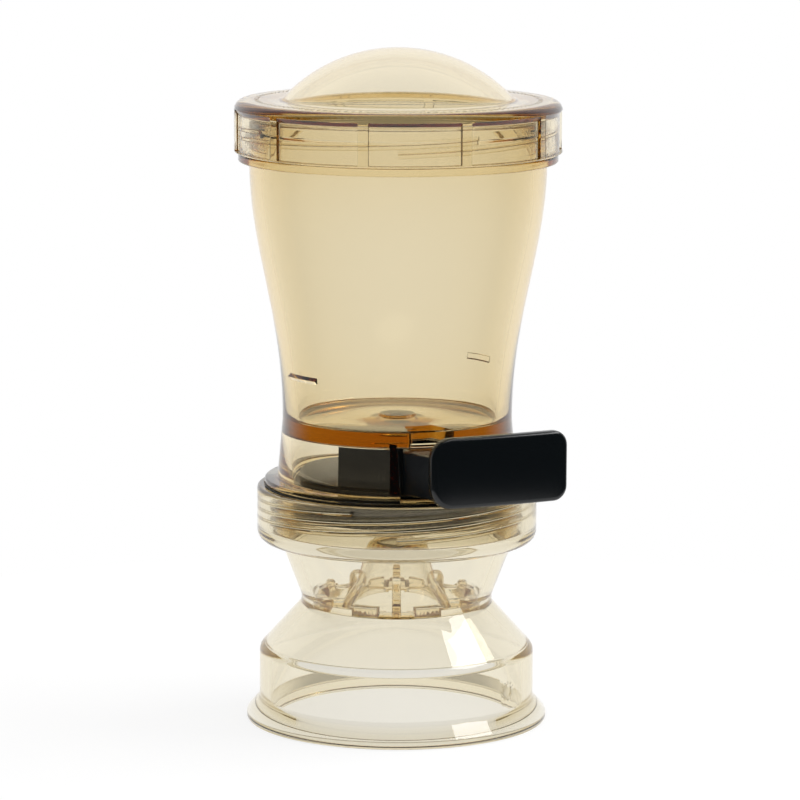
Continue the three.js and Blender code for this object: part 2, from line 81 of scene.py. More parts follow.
@dataclass(frozen=True)
class Levels:
    """Heights and radii that several pieces share, worked out as the CAD does."""

    rest_gap: float = 0.3
    thread_clearance: float = 0.5
    bell_height: float = 24.2
    shoulder_height: float = 16.2
    waist_band: float = 2.4
    funnel_height: float = 18.8
    collar_height: float = 18.9
    mouth_depth: float = 0.9
    gasket: float = 1.0
    flange: float = 2.0
    plate_drop: float = 0.1
    rotor: float = 2.6
    dose_height: float = 14.4
    headroom: float = 0.6
    floor: float = 4.5
    hopper_height: float = 87.0
    stop: float = 2.7
    neck: float = 12.1
    lid_seal: float = 1.0
    lid_seal_width: float = 3.5
    lid_plate: float = 4.1
    waist_radius: float = 32.4
    waist_wall: float = 3.9
    chamber_radius: float = 36.4
    foot_wall: float = 4.8
    thread_depth: float = 1.4
    neck_thread_depth: float = 1.1
    flange_width: float = 3.6
    mouth_wall: float = 2.3
    shoulder_radius: float = 50.0
    lid_skirt_wall: float = 3.45
    thread_lead: float = 12.0
    thread_starts: int = 4
    foot_thread_span: float = 250.0
    foot_depth: float = 16.8
    neck_thread_span: float = 120.0
    plate_skirt: float = 9.5
    housing_radius: float = 40.5
    post_radius: float = 4.0
    dose_orbit: float = 26.5
    dose_radius: float = 5.5
    arm_start: float = 3.0
    arm_end: float = 24.0
    dose_lead: float = 6.0
    lever_travel: float = 27.0

    @property
    def waist_bottom(self) -> float:
        """Height where the shoulder meets the waist."""
        return self.bell_height + self.shoulder_height

    @property
    def collar_bottom(self) -> float:
        """Height of the collar's underside."""
        return self.waist_bottom + self.waist_band + self.funnel_height

    @property
    def collar_top(self) -> float:
        """Height of the collar's rim."""
        return self.collar_bottom + self.collar_height

    @property
    def gasket_bottom(self) -> float:
        """Height of the collar gasket's underside."""
        return self.collar_top - self.mouth_depth + self.rest_gap

    @property
    def flange_bottom(self) -> float:
        """Height of the underside of the hopper's flange."""
        return self.gasket_bottom + self.gasket + self.rest_gap

    @property
    def plate_top(self) -> float:
        """Height of the bottom plate's upper face."""
        return self.flange_bottom - self.plate_drop

    @property
    def rotor_bottom(self) -> float:
        """Height of the underside of the lever's disc."""
        return self.plate_top + self.rest_gap

    @property
    def rotor_top(self) -> float:
        """Height of the upper face of the lever's disc."""
        return self.rotor_bottom + self.rotor

    @property
    def sector_top(self) -> float:
        """Height of the top of the lever's dose block."""
        return self.rotor_top + self.dose_height

    @property
    def floor_bottom(self) -> float:
        """Height of the underside of the hopper's floor."""
        return self.sector_top + self.headroom

    @property
    def floor_top(self) -> float:
        """Height of the hopper's floor."""
        return self.floor_bottom + self.floor

    @property
    def stop_bottom(self) -> float:
        """Height of the underside of the stop ring below the lid."""
        return self.floor_top + self.hopper_height

    @property
    def stop_top(self) -> float:
        """Height of the top of the stop ring."""
        return self.stop_bottom + self.stop

    @property
    def rim_top(self) -> float:
        """Height of the hopper's rim."""
        return self.stop_top + self.neck

    @property
    def lid_underside(self) -> float:
        """Height of the lid's flat underside."""
        return self.rim_top + self.lid_seal + 2 * self.rest_gap

    @property
    def lid_top(self) -> float:
        """Height of the lid's flat shoulder."""
        return self.lid_underside + self.lid_plate

    @property
    def lid_bottom(self) -> float:
        """Height of the lower edge of the lid's skirt."""
        return self.stop_top + self.rest_gap

    @property
    def waist_bore(self) -> float:
        """Inner radius of the waist."""
        return self.waist_radius - self.waist_wall

    @property
    def foot_radius(self) -> float:
        """Outer radius of the hopper's foot, without its thread."""
        return self.chamber_radius + self.foot_wall

    @property
    def foot_crest(self) -> float:
        """Radius of the foot thread's crest."""
        return self.foot_radius + self.thread_depth

    @property
    def collar_bore(self) -> float:
        """Inner radius of the collar, without its thread."""
        return self.foot_crest + self.thread_clearance

    @property
    def flange_radius(self) -> float:
        """Outer radius of the hopper's flange."""
        return self.foot_radius + self.flange_width

    @property
    def mouth_radius(self) -> float:
        """Radius of the step in the collar's mouth."""
        return self.flange_radius + self.rest_gap

    @property
    def collar_radius(self) -> float:
        """Outer radius of the collar."""
        return self.mouth_radius + self.mouth_wall

    @property
    def neck_crest(self) -> float:
        """Radius of the neck thread's crest."""
        return self.shoulder_radius + self.neck_thread_depth

    @property
    def lid_bore(self) -> float:
        """Inner radius of the lid's skirt, without its thread."""
        return self.neck_crest + self.thread_clearance

    @property
    def lid_radius(self) -> float:
        """Outer radius of the lid."""
        return self.lid_bore + self.lid_skirt_wall

    @property
    def thread_pitch(self) -> float:
        """Distance between two ridges of a thread."""
        return self.thread_lead / self.thread_starts

    @property
    def dose_azimuth(self) -> float:
        """Azimuth of the dose pocket at rest."""
        return (self.arm_start + self.arm_end) / 2 + self.dose_lead

    @property
    def outlet_azimuth(self) -> float:
        """Azimuth of the outlet in the bottom plate."""
        return self.dose_azimuth + self.lever_travel


LEVELS = Levels()


def linear(hex_colour: str) -> tuple[float, float, float, float]:
    """Turns an sRGB hex colour into the linear values that shaders take.

    Args:
        hex_colour: Six hex digits, such as "d8c48c".

    Returns:
        Linear red, green, blue and an alpha of 1.
    """
    channels = []
    for start in (0, 2, 4):
        value = int(hex_colour[start:start + 2], 16) / 255
        low = value / 12.92
        high = ((value + 0.055) / 1.055) ** 2.4
        channels.append(low if value <= 0.04045 else high)
    return (channels[0], channels[1], channels[2], 1.0)


def around(radius: float, azimuth: float, height: float = 0.0) -> Vector:
    """Gives the point at a radius, an azimuth and a height.

    Args:
        radius: Distance from the axis.
        azimuth: Degrees from the front towards +X.
        height: Height above the foot.

    Returns:
        The point.
    """
    turn = math.radians(azimuth)
    return Vector((radius * math.sin(turn), -radius * math.cos(turn), height))


def rounded(corners: Sequence[Corner], closed: bool, steps: int = 6) -> list[tuple[float, float]]:
    """Rounds the corners of an outline with arcs.

    Args:
        corners: Corners in order.
        closed: Whether the last corner joins the first.
        steps: Segments in each arc.

    Returns:
        Points of the rounded outline, as radius and height.
    """
    points: list[tuple[float, float]] = []
    count = len(corners)
    for i, corner in enumerate(corners):
        here = Vector((corner.r, corner.z))
        end = not closed and i in (0, count - 1)
        if end or corner.fillet <= 0:
            points.append((here.x, here.y))
            continue
        before = corners[i - 1]
        after = corners[(i + 1) % count]
        back = Vector((before.r, before.z)) - here
        ahead = Vector((after.r, after.z)) - here
        half = back.angle(ahead) / 2
        reach = min(corner.fillet / math.tan(half), 0.48 * back.length, 0.48 * ahead.length)
        radius = reach * math.tan(half)
        first = here + back.normalized() * reach
        last = here + ahead.normalized() * reach
        centre = here + (back.normalized() + ahead.normalized()).normalized() * math.hypot(reach, radius)
        for step in range(steps + 1):
            share = step / steps
            arm = (first - centre).slerp(last - centre, share)
            point = centre + arm.normalized() * radius
            points.append((point.x, point.y))
    return points


def spun(
    points: Sequence[tuple[float, float]],
    closed: bool,
    start: float = 0.0,
    sweep: float = 360.0,
    rise: float = 0.0,
) -> bmesh.types.BMesh:
    """Spins an outline of radius and height about the axis into a solid.

    Args:
        points: Outline in order.
        closed: Whether the last point joins the first.
        start: Azimuth of the outline's first place.
        sweep: Degrees to spin through; 360 closes on itself.
        rise: Height gained over the sweep, as in a thread.

    Returns:
        The solid as a bmesh.
    """
    mesh = bmesh.new()
    verts = [mesh.verts.new(around(radius, start, height)) for radius, height in points]
    edges = [mesh.edges.new(pair) for pair in zip(verts, verts[1:])]
    if closed:
        edges.append(mesh.edges.new((verts[-1], verts[0])))
    full = sweep >= 360.0
    steps = SPIN_STEPS if full else max(2, round(SPIN_STEPS * sweep / 360.0))
    bmesh.ops.spin(
        mesh,
        geom=[*verts, *edges],
        cent=(0, 0, 0),
        axis=(0, 0, 1),
        dvec=(0, 0, rise / steps),
        angle=math.radians(sweep),
        steps=steps,
        use_merge=full,
    )
    if not full:
        bmesh.ops.holes_fill(mesh, edges=[e for e in mesh.edges if e.is_boundary], sides=0)
    bmesh.ops.remove_doubles(mesh, verts=mesh.verts, dist=1e-4)
    bmesh.ops.recalc_face_normals(mesh, faces=mesh.faces)
    return mesh


def sector(
    inner: float, outer: float, low: float, high: float, start: float, end: float, fillet: float = 0.0
) -> bmesh.types.BMesh:
    """Makes a block of a ring between two azimuths.

    Args:
        inner: Inner radius.
        outer: Outer radius.
        low: Lower height.
        high: Upper height.
        start: First azimuth.
        end: Last azimuth.
        fillet: Radius that rounds the block's long edges.

    Returns:
        The block as a bmesh.
    """
    corners = [Corner(inner, low, fillet), Corner(outer, low, fillet)]
    corners += [Corner(outer, high, fillet), Corner(inner, high, fillet)]
    return spun(rounded(corners, True, 3), True, start, end - start)


def post(radius: float, centre: Vector, low: float, high: float, segments: int = 48) -> bmesh.types.BMesh:
    """Makes an upright round bar.

    Args:
        radius: The bar's radius.
        centre: Where its axis stands; the height is ignored.
        low: Lower end.
        high: Upper end.
        segments: Sides of the bar.

    Returns:
        The bar as a bmesh.
    """
    mesh = bmesh.new()
    place = Matrix.Translation((centre.x, centre.y, (low + high) / 2))
    bmesh.ops.create_cone(
        mesh,
        cap_ends=True,
        segments=segments,
        radius1=radius,
        radius2=radius,
        depth=high - low,
        matrix=place,
    )
    return mesh


def extruded(outline: Sequence[Vector], rise: Vector) -> bmesh.types.BMesh:
    """Extrudes a flat outline into a closed block.

    Args:
        outline: Corner points in order.
        rise: Direction and length of the extrusion.

    Returns:
        The block as a bmesh.
    """
    mesh = bmesh.new()
    face = mesh.faces.new([mesh.verts.new(point) for point in outline])
    result = bmesh.ops.extrude_face_region(mesh, geom=[face], use_keep_orig=True)
    moved = [item for item in result["geom"] if isinstance(item, bmesh.types.BMVert)]
    bmesh.ops.translate(mesh, verts=moved, vec=rise)
    bmesh.ops.recalc_face_normals(mesh, faces=mesh.faces)
    return mesh


def bevelled(
    mesh: bmesh.types.BMesh, width: float, segments: int, angle: float = 30.0
) -> bmesh.types.BMesh:
    """Rounds the edges of a mesh that are sharper than an angle.

    Args:
        mesh: The mesh to round.
        width: Width of the rounding.
        segments: Segments across it.
        angle: Smallest angle, in degrees, that is rounded.

    Returns:
        The same mesh.
    """
    limit = math.radians(angle)
    edges = [e for e in mesh.edges if e.is_manifold and e.calc_face_angle(0) > limit]
    bmesh.ops.bevel(
        mesh,
        geom=edges,
        offset=width,
        affect="EDGES",
        segments=segments,
        profile=0.5,
        material=-1,
        clamp_overlap=True,
    )
    return mesh


def loose_object(mesh: bmesh.types.BMesh, name: str) -> bpy.types.Object:
    """Puts a bmesh into a linked object, still in millimetres.

    Args:
        mesh: The bmesh, which is freed.
        name: Name of the object.

    Returns:
        The object.
    """
    data = bpy.data.meshes.new(name)
    mesh.to_mesh(data)
    mesh.free()
    piece = bpy.data.objects.new(name, data)
    bpy.context.scene.collection.objects.link(piece)
    return piece


def combine(target: bpy.types.Object, tools: Iterable[bmesh.types.BMesh], how: Join) -> None:
    """Adds solids to an object or cuts them from it.

    Args:
        target: The object that changes.
        tools: The solids, which are used up.
        how: Whether they are added or cut.
    """
    for mesh in tools:
        tool = loose_object(mesh, "tool")
        change = target.modifiers.new("join", "BOOLEAN")
        change.solver = "MANIFOLD"
        change.operation = how.value
        change.object = tool
        graph = bpy.context.evaluated_depsgraph_get()
        data = bpy.data.meshes.new_from_object(target.evaluated_get(graph))
        target.modifiers.clear()
        old = target.data
        target.data = data
        bpy.data.meshes.remove(old)
        bpy.data.objects.remove(tool)


def finish_piece(
    piece: bpy.types.Object,
    material: bpy.types.Material,
    body: str,
    nodes: Sequence[str],
    sharp_angle: float = SHARP_ANGLE,
) -> bpy.types.Object:
    """Scales a piece to metres, shades it and ties it to the frame.

    Args:
        piece: The piece, in millimetres.
        material: Its finish.
        body: The CAD body that it rides on.
        nodes: The CAD nodes that it stands for.
        sharp_angle: Edges sharper than this many degrees stay sharp.

    Returns:
        The same piece.
    """
    data = piece.data
    data.transform(Matrix.Scale(MM, 4))
    data.shade_smooth()
    data.set_sharp_from_angle(angle=math.radians(sharp_angle))
    data.materials.clear()
    data.materials.append(material)
    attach(piece, body)
    if nodes:
        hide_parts(*nodes)
    LOG.info("%s: %d faces", piece.name, len(data.polygons))
    return piece


def thread(
    wall: float, crest: float, low: float, span: float, flank: float = 0.3
) -> list[bmesh.types.BMesh]:
    """Makes the ridges of a thread on a wall.

    Args:
        wall: Radius of the wall.
        crest: Radius of the crests, outside or inside the wall.
        low: Height of each ridge's lower end.
        span: Degrees that each ridge goes round.
        flank: Height of each slanted side.

    Returns:
        One solid for each start.
    """
    root_width = 1.4
    sink = 0.5 if crest > wall else -0.5
    fillet = 0.8 * flank
    corners = [
        Corner(wall - sink, low),
        Corner(wall - sink, low + root_width),
        Corner(crest, low + root_width - flank, fillet),
        Corner(crest, low + flank, fillet),
    ]
    outline = rounded(corners, True, 2)
    rise = LEVELS.thread_lead * span / 360.0
    starts = LEVELS.thread_starts
    return [spun(outline, True, i * 360.0 / starts, span, rise) for i in range(starts)]


def node(
    tree: bpy.types.NodeTree,
    kind: str,
    settings: Optional[dict] = None,
    links: Optional[dict] = None,
) -> bpy.types.Node:
    """Adds a node with its settings and links.

    Args:
        tree: The tree that gets the node.
        kind: The node's type name.
        settings: Attribute or input names with their values.
        links: Input names with the output sockets that feed them.

    Returns:
        The new node.
    """
    made = tree.nodes.new(kind)
    for name, value in (settings or {}).items():
        if isinstance(name, str) and hasattr(made, name):
            setattr(made, name, value)
        else:
            made.inputs[name].default_value = value
    for name, socket in (links or {}).items():
        tree.links.new(socket, made.inputs[name])
    return made


def empty_material(name: str) -> tuple[bpy.types.Material, bpy.types.NodeTree]:
    """Makes a material with an empty node tree.

    Args:
        name: The material's name.

    Returns:
        The material and its tree.
    """
    material = bpy.data.materials.new(name)
    material.use_nodes = True
    material.node_tree.nodes.clear()
    return material, material.node_tree


@dataclass(frozen=True)
class ClearPlastic:
    """Polycarbonate or silicone, moulded clear: a wet-looking gloss and a dye that deepens at edges."""

    name: str
    dye: str
    density: float
    roughness: float = 0.02
    ior: float = 1.585
    wave_mm: float = 26.0
    wave_depth_mm: float = 0.02

    def material(self) -> bpy.types.Material:
        """Makes the material.

        Returns:
            The material.
        """
        material, tree = empty_material(self.name)
        place = node(tree, "ShaderNodeTexCoord")
        flow = node(
            tree,
            "ShaderNodeTexNoise",
            {"Scale": 1 / (self.wave_mm * MM), "Detail": 2.0, "Roughness": 0.4},
            {"Vector": place.outputs["Object"]},
        )
        bump = node(
            tree,
            "ShaderNodeBump",
            {"Strength": 1.0, "Distance": self.wave_depth_mm * MM},
            {"Height": flow.outputs["Fac"]},
        )
        surface = node(
            tree,
            "ShaderNodeBsdfPrincipled",
            {
                "Base Color": WHITE,
                "Roughness": self.roughness,
                "IOR": self.ior,
                "Transmission Weight": 1.0,
            },
            {"Normal": bump.outputs["Normal"]},
        )
        dye = node(
            tree,
            "ShaderNodeVolumeAbsorption",
            {"Color": linear(self.dye), "Density": self.density},
        )
        node(
            tree,
            "ShaderNodeOutputMaterial",
            None,
            {"Surface": surface.outputs["BSDF"], "Volume": dye.outputs["Volume"]},
        )
        return material


@dataclass(frozen=True)
class DarkPlastic:
    """Acetal or rubber, moulded in black: a soft even gloss with a fine spark-eroded grain."""

    name: str
    colour: str
    roughness: float
    ior: float = 1.48
    grain_mm: float = 0.5
    grain_depth_mm: float = 0.0015

    def material(self) -> bpy.types.Material:
        """Makes the material.

        Returns:
            The material.
        """
        material, tree = empty_material(self.name)
        place = node(tree, "ShaderNodeTexCoord")
        grain = node(
            tree,
            "ShaderNodeTexNoise",
            {"Scale": 1 / (self.grain_mm * MM), "Detail": 3.0},
            {"Vector": place.outputs["Object"]},
        )
        wear = node(
            tree,
            "ShaderNodeMapRange",
            {"To Min": self.roughness - 0.05, "To Max": self.roughness + 0.05},
            {"Value": grain.outputs["Fac"]},
        )
        bump = node(
            tree,
            "ShaderNodeBump",
            {"Strength": 0.6, "Distance": self.grain_depth_mm * MM},
            {"Height": grain.outputs["Fac"]},
        )
        surface = node(
            tree,
            "ShaderNodeBsdfPrincipled",
            {"Base Color": linear(self.colour), "IOR": self.ior},
            {"Roughness": wear.outputs["Result"], "Normal": bump.outputs["Normal"]},
        )
        node(tree, "ShaderNodeOutputMaterial", None, {"Surface": surface.outputs["BSDF"]})
        return material


@dataclass(frozen=True)
class DrawnWire:
    """Stainless spring steel, cold drawn: bright, with faint marks along the wire."""

    name: str
    colour: str
    roughness: float = 0.28
    mark_mm: float = 0.3

    def material(self) -> bpy.types.Material:
        """Makes the material.

        Returns:
            The material.
        """
        material, tree = empty_material(self.name)
        place = node(tree, "ShaderNodeTexCoord")
        marks = node(
            tree,
            "ShaderNodeTexNoise",
            {"Scale": 1 / (self.mark_mm * MM)},
            {"Vector": place.outputs["Object"]},
        )
        gloss = node(
            tree,
            "ShaderNodeMapRange",
            {"To Min": self.roughness - 0.08, "To Max": self.roughness + 0.08},
            {"Value": marks.outputs["Fac"]},
        )
        surface = node(
            tree,
            "ShaderNodeBsdfPrincipled",
            {"Base Color": linear(self.colour), "Metallic": 1.0},
            {"Roughness": gloss.outputs["Result"]},
        )
        node(tree, "ShaderNodeOutputMaterial", None, {"Surface": surface.outputs["BSDF"]})
        return material


@dataclass(frozen=True)
class Finishes:
    """The finishes of the dispenser's pieces."""

    amber: ClearPlastic = ClearPlastic("polycarbonate_amber_moulded", "eeda90", 115.0)
    smoke: ClearPlastic = ClearPlastic("polycarbonate_smoke_moulded", "e6daae", 98.0)
    silicone: ClearPlastic = ClearPlastic("silicone_clear_moulded", "f1df9a", 150.0, 0.22, 1.41)
    black: DarkPlastic = DarkPlastic("acetal_black_moulded", "080d10", 0.2)
    rubber: DarkPlastic = DarkPlastic("nitrile_black_moulded", "0c0b0a", 0.55)
    wire: DrawnWire = DrawnWire("spring_steel_drawn", "b8b8b4")


@dataclass
class BasePart:
    """Base: foot, bell, shoulder, waist, funnel and threaded collar in one moulding."""

    bell_radius: float = 46.6
    bell_wall: float = 3.9
    foot_lip: float = 4.4
    foot_height: float = 7.6
    foot_edge: float = 2.6
    funnel_spread: float = 7.2
    funnel_wall: float = 3.8
    collar_corner: float = 7.6
    collar_chamfer: float = 3.0
    collar_floor: float = 1.8
    spreader_depth: float = 3.7
    clock_azimuth: float = 53.2
    clock_height: float = 15.0
    clock_radius: float = 2.4
    clock_ticks: int = 12
    clock_proud: float = 0.3
    clock_sink: float = 0.6
    clock_width: float = 0.5
    clock_tick_width: float = 0.3
    clock_tick_length: float = 0.9

    def outline(self) -> list[tuple[float, float]]:
        """Gives the wall's closed outline.

        Returns:
            The outline's radii and heights, in millimetres.
        """
        lv = LEVELS
        slope = self.funnel_spread / lv.funnel_height
        funnel_top = lv.waist_radius + self.funnel_spread
        funnel_inner = funnel_top - self.funnel_wall * math.hypot(1, slope)
        funnel_foot = lv.collar_bottom - (funnel_inner - lv.waist_bore) / slope
        bell_inner = self.bell_radius - self.bell_wall
        foot = self.bell_radius + self.foot_lip
        ledge = lv.collar_bottom + self.collar_floor
        ledge_radius = funnel_inner + self.collar_floor * slope
        return rounded(
            [
                Corner(bell_inner, 0, 0.5),
                Corner(foot, 0, 1.0),
                Corner(foot, self.foot_edge, 1.2),
                Corner(self.bell_radius, self.foot_height, 3.0),
                Corner(self.bell_radius, lv.bell_height + 0.4, 3.8),
                Corner(lv.waist_radius, lv.waist_bottom, 0.9),
                Corner(lv.waist_radius, lv.waist_bottom + lv.waist_band, 1.2),
                Corner(funnel_top, lv.collar_bottom, 0.6),
                Corner(lv.collar_radius, lv.collar_bottom, self.collar_corner),
                Corner(lv.collar_radius, lv.collar_top, lv.mouth_wall - 0.1),
                Corner(lv.mouth_radius, lv.collar_top, 0.1),
                Corner(lv.mouth_radius, lv.collar_top - lv.mouth_depth, 0.1),
                Corner(lv.collar_bore, lv.collar_top - lv.mouth_depth, 0.2),
                Corner(lv.collar_bore, ledge + self.collar_chamfer, 1.5),
                Corner(lv.collar_bore - self.collar_chamfer, ledge, 1.5),
                Corner(ledge_radius, ledge, 1.0),
                Corner(lv.waist_bore, funnel_foot, 2.0),
                Corner(lv.waist_bore, lv.waist_bottom - self.spreader_depth / 2, 1.0),
                Corner(bell_inner, lv.bell_height, 2.2),
            ],
            True,
        )

    def clock_mark(self) -> list[bmesh.types.BMesh]:
        """Makes the small raised mould mark: a ring and plain ticks on the bell's outside.

        Returns:
            The mark's solids.
        """
        proud = self.clock_proud
        sink = self.clock_sink
        length = self.clock_tick_length
        turn = Matrix.Rotation(math.radians(self.clock_azimuth), 4, "Z")
        stand = Matrix.Rotation(math.radians(90), 4, "X")
        seat = around(self.bell_radius, 0, self.clock_height)
        place = turn @ Matrix.Translation(seat) @ stand
        solids = []
        ring = spun(
            [
                (self.clock_radius - self.clock_width, -sink),
                (self.clock_radius, -sink),
                (self.clock_radius, proud),
                (self.clock_radius - self.clock_width, proud),
            ],
            True,
        )
        bmesh.ops.transform(ring, matrix=place, verts=ring.verts)
        solids.append(ring)
        for i in range(self.clock_ticks):
            tick = bmesh.new()
            bmesh.ops.create_cube(tick, size=1.0)
            bmesh.ops.scale(tick, vec=(self.clock_tick_width, length, sink + proud), verts=tick.verts)
            offset = (0, self.clock_radius + length / 2, (proud - sink) / 2)
            bmesh.ops.translate(tick, vec=offset, verts=tick.verts)
            spin = Matrix.Rotation(2 * math.pi * i / self.clock_ticks, 4, "Z")
            bmesh.ops.transform(tick, matrix=place @ spin, verts=tick.verts)
            solids.append(tick)
        return solids

    def build(self, finishes: Finishes) -> bpy.types.Object:
        """Builds the base.

        Args:
            finishes: The dispenser's finishes.

        Returns:
            The finished piece.
        """
        lv = LEVELS
        piece = loose_object(spun(self.outline(), True), "base_moulding")
        low = lv.flange_bottom - lv.foot_depth + 1.5 * lv.thread_pitch
        crest = lv.collar_bore - lv.thread_depth
        ridges = thread(lv.collar_bore, crest, low, lv.foot_thread_span)
        combine(piece, ridges, Join.ADD)
        combine(piece, self.clock_mark(), Join.ADD)
        return finish_piece(piece, finishes.smoke.material(), "base", ["base"])


@dataclass
class SpreaderPart:
    """Spreader: an amber trumpet with four finned arms and a toothed rim."""

    ring: float = 2.2
    depth: float = 3.7
    flare: float = 19.5
    height: float = 26.0
    neck: float = 11.5
    wall: float = 2.0
    fin_count: int = 4
    fin_width: float = 2.8
    fin_height: float = 13.0
    fin_reach: float = 4.5
    fin_edge: float = 1.0
    knob_inset: float = 2.9
    knob_width: float = 3.4
    knob_foot: float = 7.0
    knob_rise: float = 2.4
    spoke_root: float = 4.0
    spoke_angle: float = 26.0
    spoke_thickness: float = 2.2
    tooth_count: int = 8
    tooth_angle: float = 19.0
    tooth_height: float = 1.65
    tooth_depth: float = 4.0
    tooth_root: float = 0.6

    def trumpet(self) -> bmesh.types.BMesh:
        """Makes the hollow trumpet.

        Returns:
            The trumpet's solid.
        """
        low = LEVELS.waist_bottom - self.depth / 2
        top = low + self.height
        corners = [
            Corner(0, top - 2.2),
            Corner(self.neck - self.wall - 1.0, top - 4.0, 3.0),
            Corner(self.neck - self.wall, low + 0.62 * self.height, 4.0),
            Corner(self.neck - self.wall + 1.6, low + 0.38 * self.height, 6.0),
            Corner(self.flare - 1.6 * self.wall, low, 0.4),
            Corner(self.flare, low, 0.5),
            Corner(self.flare - 1.8, low + 0.12 * self.height, 6.0),
            Corner(self.neck + 1.7, low + 0.38 * self.height, 8.0),
            Corner(self.neck, low + 0.64 * self.height, 5.0),
            Corner(self.neck - 1.2, top - 1.5, 3.5),
            Corner(0, top - 0.5),
        ]
        return spun(rounded(corners, False, 8), False)

    def fin(self, azimuth: float) -> bmesh.types.BMesh:
        """Makes one arm with its upright, round-topped fin.

        Args:
            azimuth: Where the arm stands.

        Returns:
            The arm as a bmesh.
        """
        low = LEVELS.waist_bottom - self.depth / 2
        rim = LEVELS.waist_bore - LEVELS.rest_gap - self.ring / 2
        knob = rim - self.knob_inset
        reach = self.neck + self.fin_reach
        corners = [
            Corner(self.flare - self.spoke_root, low, 0),
            Corner(rim, low, 0),
            Corner(rim, low + self.depth + 2.0, 1.0),
            Corner(knob, low + self.knob_foot, 0.6),
            Corner(knob, low + self.knob_foot + self.knob_rise, 1.6),
            Corner(knob - self.knob_width, low + self.knob_foot + self.knob_rise, 1.6),
            Corner(knob - self.knob_width, low + self.knob_foot, 0.6),
            Corner(reach, low + self.knob_foot, 1.2),
            Corner(reach, low + self.fin_height, 2.4),
            Corner(self.neck - 1, low + self.fin_height, 0),
            Corner(self.neck - 1, low + 0.3 * self.height, 0),
        ]
        half = self.fin_width / 2
        outline = [Vector((half, -r, z)) for r, z in rounded(corners, True, 4)]
        mesh = extruded(outline, Vector((-self.fin_width, 0, 0)))
        bevelled(mesh, self.fin_edge, 4, 60.0)
        bmesh.ops.rotate(mesh, matrix=Matrix.Rotation(math.radians(azimuth), 3, "Z"), verts=mesh.verts)
        return mesh

    def build(self, finishes: Finishes) -> bpy.types.Object:
        """Builds the spreader.

        Args:
            finishes: The dispenser's finishes.

        Returns:
            The finished piece.
        """
        low = LEVELS.waist_bottom - self.depth / 2
        outer = LEVELS.waist_bore - LEVELS.rest_gap
        piece = loose_object(self.trumpet(), "spreader_moulding")
        rim = sector(outer - self.ring, outer, low, low + self.depth, 0, 360, 0.4)
        rim_middle = outer - self.ring / 2
        high = low + self.spoke_thickness
        for i in range(self.fin_count):
            middle = 360.0 * i / self.fin_count
            edge = self.spoke_angle / 2
            root = self.flare - self.spoke_root
            spoke = sector(root, rim_middle, low, high, middle - edge, middle + edge, 0.3)
            combine(piece, [self.fin(middle), spoke], Join.ADD)
        combine(piece, [rim], Join.ADD)
        pitch = 360.0 / self.tooth_count
        teeth = []
        for i in range(self.tooth_count):
            middle = pitch * (i + 0.5)
            edge = self.tooth_angle / 2
            high = low + self.depth + self.tooth_height
            inner = outer - self.tooth_depth
            foot = low + self.tooth_root
            teeth.append(sector(inner, outer, foot, high, middle - edge, middle + edge, 0.5))
        combine(piece, teeth, Join.ADD)
        return finish_piece(piece, finishes.amber.material(), "base", ["spreader"])


@dataclass
class SealPart:
    """One of the two ring seals."""

    name: str
    body: str
    replaced: str
    slot: str
    inner: float
    outer: float
    low: float
    high: float

    def build(self, finish: ClearPlastic | DarkPlastic) -> bpy.types.Object:
        """Builds the seal.

        Args:
            finish: The seal's finish.

        Returns:
            The finished piece.
        """
        corners = [Corner(self.inner, self.low, 0.35), Corner(self.outer, self.low, 0.35)]
        corners += [Corner(self.outer, self.high, 0.35), Corner(self.inner, self.high, 0.35)]
        piece = loose_object(spun(rounded(corners, True, 4), True), self.name)
        return finish_piece(piece, finish.material(), self.body, [self.replaced], 60.0)


